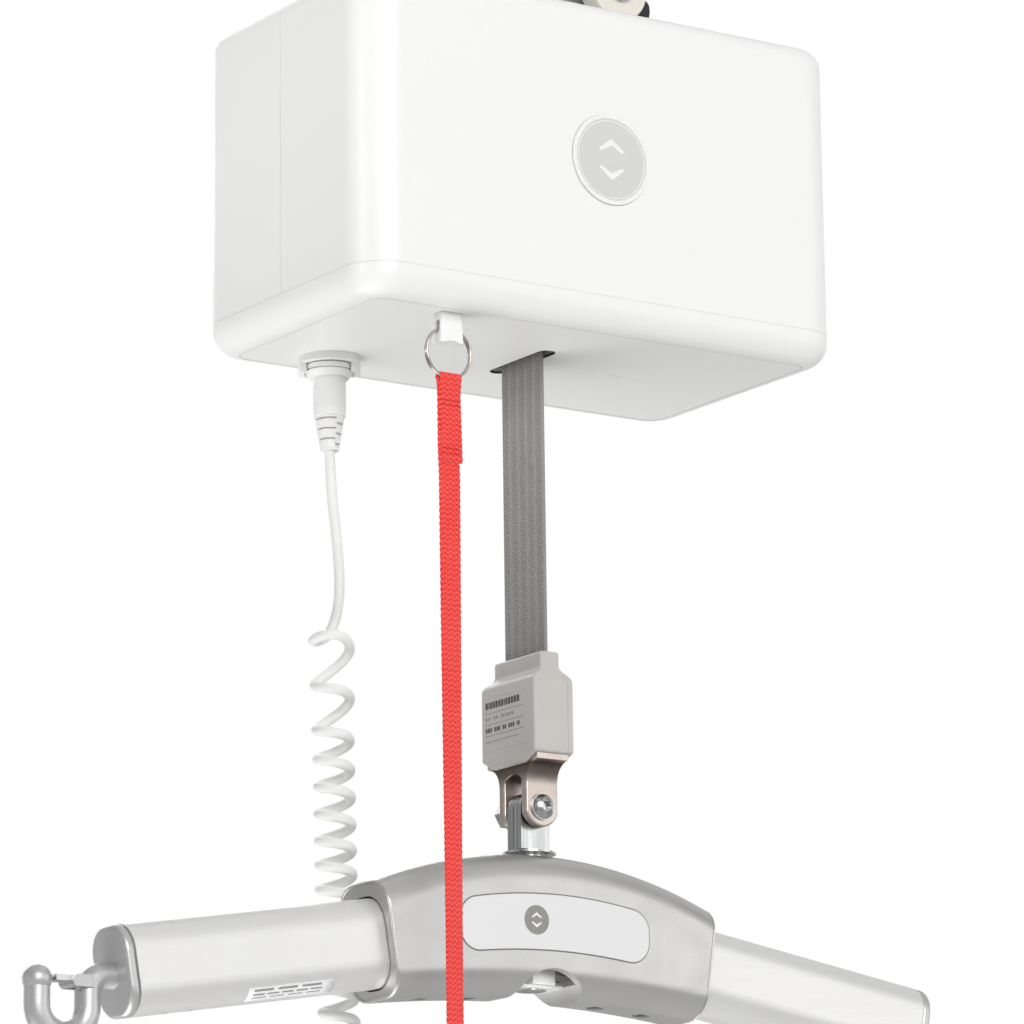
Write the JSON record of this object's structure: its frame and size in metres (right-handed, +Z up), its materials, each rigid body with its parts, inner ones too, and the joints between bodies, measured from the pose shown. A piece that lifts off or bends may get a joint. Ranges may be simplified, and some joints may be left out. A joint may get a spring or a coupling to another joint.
{
  "type": "ceiling patient lift hoist",
  "caption": "Ceiling patient lift: white casing hung from a rail trolley, grey lifting strap, curved two-arm spreader bar with end hooks, curly-cord handset and red pull strap.",
  "frame": {"origin": "middle of the trolley, on the plane that its wheels roll on inside the ceiling rail", "axes": "+X along the rail and the casing's long side, +Y to the rear, +Z up"},
  "size_m": [0.5942, 0.1692, 0.8855],
  "materials": {
    "casing_white": "fine moulded, satin white",
    "emblem_grey": "satin printed disc",
    "plate_steel": "zinc plated sheet",
    "bright_steel": "bright zinc",
    "machined_aluminium": "machined",
    "dark_plastic": "moulded",
    "motor_black": "satin black",
    "board_green": "solder mask",
    "bronze": "bearing bronze",
    "buffer_rubber": "matte rubber",
    "wheel_polymer": "turned nylon",
    "cord_white": "soft satin sheath",
    "plug_white": "moulded",
    "handset_grey": "moulded",
    "button_grey": "soft touch",
    "strap_grey": "ribbed webbing",
    "webbing_red": "narrow webbing",
    "grip_red": "moulded",
    "ring_nickel": "nickel plated",
    "cover_grey": "satin moulded",
    "clevis_cast": "investment cast, satin",
    "hub_silver": "silver lacquer on a casting",
    "badge_white": "satin",
    "tube_anodised": "satin anodised",
    "hook_silver": "cast, silver lacquer",
    "latch_steel": "stainless"
  },
  "bodies": {
    "hoist": {"casing_front": "casing_white", "casing_rear": "casing_white", "base_tray": "casing_white", "emblem": "emblem_grey", "chassis_plates": "plate_steel", "chassis_spacers": "bright_steel", "hanger_block": "machined_aluminium", "gearbox": "machined_aluminium", "motor": "motor_black", "batteries": "dark_plastic", "control_board": "board_green", "strap_guide": "dark_plastic", "drum_bearings": "bright_steel", "micro_switches": "dark_plastic", "handset_socket": "plug_white", "trolley_frame": "plate_steel", "axle_bearings": "bright_steel", "trolley_buffers": "buffer_rubber", "hanger_bolt": "bright_steel", "pull_spring": "bright_steel", "cord_plug": "plug_white", "plug_relief": "cord_white", "cord_lead": "cord_white", "cord_coil": "cord_white", "cord_tail": "cord_white", "handset_front": "handset_grey", "handset_back": "handset_grey", "handset_board": "board_green", "lifting_strap": "strap_grey"},
    "up_key": {"button_up": "button_grey"},
    "down_key": {"button_down": "button_grey"},
    "front_wheelset": {"front_axle": "bright_steel", "front_wheels": "wheel_polymer"},
    "rear_wheelset": {"rear_axle": "bright_steel", "rear_wheels": "wheel_polymer"},
    "drum": {"strap_drum": "machined_aluminium", "wound_strap": "strap_grey", "drum_gear": "plate_steel", "drum_shaft": "bright_steel"},
    "pinion": {"motor_pinion": "plate_steel"},
    "emergency_pull": {"pull_post": "casing_white", "split_ring": "ring_nickel", "pull_strap": "webbing_red", "strap_grip": "grip_red"},
    "coupling": {"coupling_cover": "cover_grey", "cover_lid": "cover_grey", "clevis": "clevis_cast", "strap_pin": "bright_steel", "clevis_bolt": "bright_steel"},
    "swivel": {"swivel_eye": "bright_steel", "swivel_nut": "bright_steel", "swivel_clip": "bright_steel"},
    "spreader_bar": {"bar_hub": "hub_silver", "bar_core": "machined_aluminium", "badge_plate": "badge_white", "bar_tubes": "tube_anodised", "hub_screws": "bright_steel", "end_hooks": "hook_silver"},
    "right_latch": {"latch_right": "latch_steel"},
    "left_latch": {"latch_left": "latch_steel"}
  },
  "joints": [
    {"name": "lift", "type": "slide", "parent": "hoist", "child": "coupling", "axis": [0, 0, 1], "range_m": [-1.9, 0.12], "deforming": ["lifting_strap"]},
    {"name": "bar_pivot", "type": "hinge", "parent": "coupling", "child": "swivel", "pos_m": [0, 0, -0.4302], "axis": [0, 1, 0], "range_deg": [-25, 25]},
    {"name": "bar_swivel", "type": "hinge", "parent": "swivel", "child": "spreader_bar", "pos_m": [0, 0, -0.4912], "axis": [0, 0, 1], "continuous": true, "deforming": ["cord_coil", "pull_strap"]},
    {"name": "right_latch_hinge", "type": "hinge", "parent": "spreader_bar", "child": "right_latch", "pos_m": [0.27076, 0, -0.53749], "axis": [0, 1, 0], "range_deg": [0, 60], "stiffness_Nm_per_rad": 0.02, "springref_deg": -14.32},
    {"name": "left_latch_hinge", "type": "hinge", "parent": "spreader_bar", "child": "left_latch", "pos_m": [-0.27076, 0, -0.53749], "axis": [0, -1, 0], "range_deg": [0, 60], "stiffness_Nm_per_rad": 0.02, "springref_deg": -14.32},
    {"name": "emergency_pull_slide", "type": "slide", "parent": "hoist", "child": "emergency_pull", "axis": [0, 0, 1], "range_m": [-0.004, 0], "stiffness_N_per_m": 1500, "springref_m": 0.002, "deforming": ["pull_spring"]},
    {"name": "up_button", "type": "slide", "parent": "hoist", "child": "up_key", "axis": [0, 1, 0], "range_m": [0, 0.0014], "stiffness_N_per_m": 500, "springref_m": -0.001},
    {"name": "down_button", "type": "slide", "parent": "hoist", "child": "down_key", "axis": [0, 1, 0], "range_m": [0, 0.0014], "stiffness_N_per_m": 500, "springref_m": -0.001},
    {"name": "front_wheels_spin", "type": "hinge", "parent": "hoist", "child": "front_wheelset", "pos_m": [0.045, 0, 0.018], "axis": [0, 1, 0], "continuous": true},
    {"name": "rear_wheels_spin", "type": "hinge", "parent": "hoist", "child": "rear_wheelset", "pos_m": [-0.045, 0, 0.018], "axis": [0, 1, 0], "continuous": true},
    {"name": "drum_spin", "type": "hinge", "parent": "hoist", "child": "drum", "pos_m": [-0.0428, 0, -0.1155], "axis": [0, 1, 0], "range_deg": [-170, 2620]},
    {"name": "pinion_spin", "type": "hinge", "parent": "hoist", "child": "pinion", "pos_m": [0.00818, 0, -0.09173], "axis": [0, 1, 0], "range_deg": [-10460, 670]}
  ],
  "couplings": [
    {"joint": "drum_spin", "follows": "lift", "rad_per_m": -24},
    {"joint": "pinion_spin", "follows": "lift", "rad_per_m": 96}
  ]
}
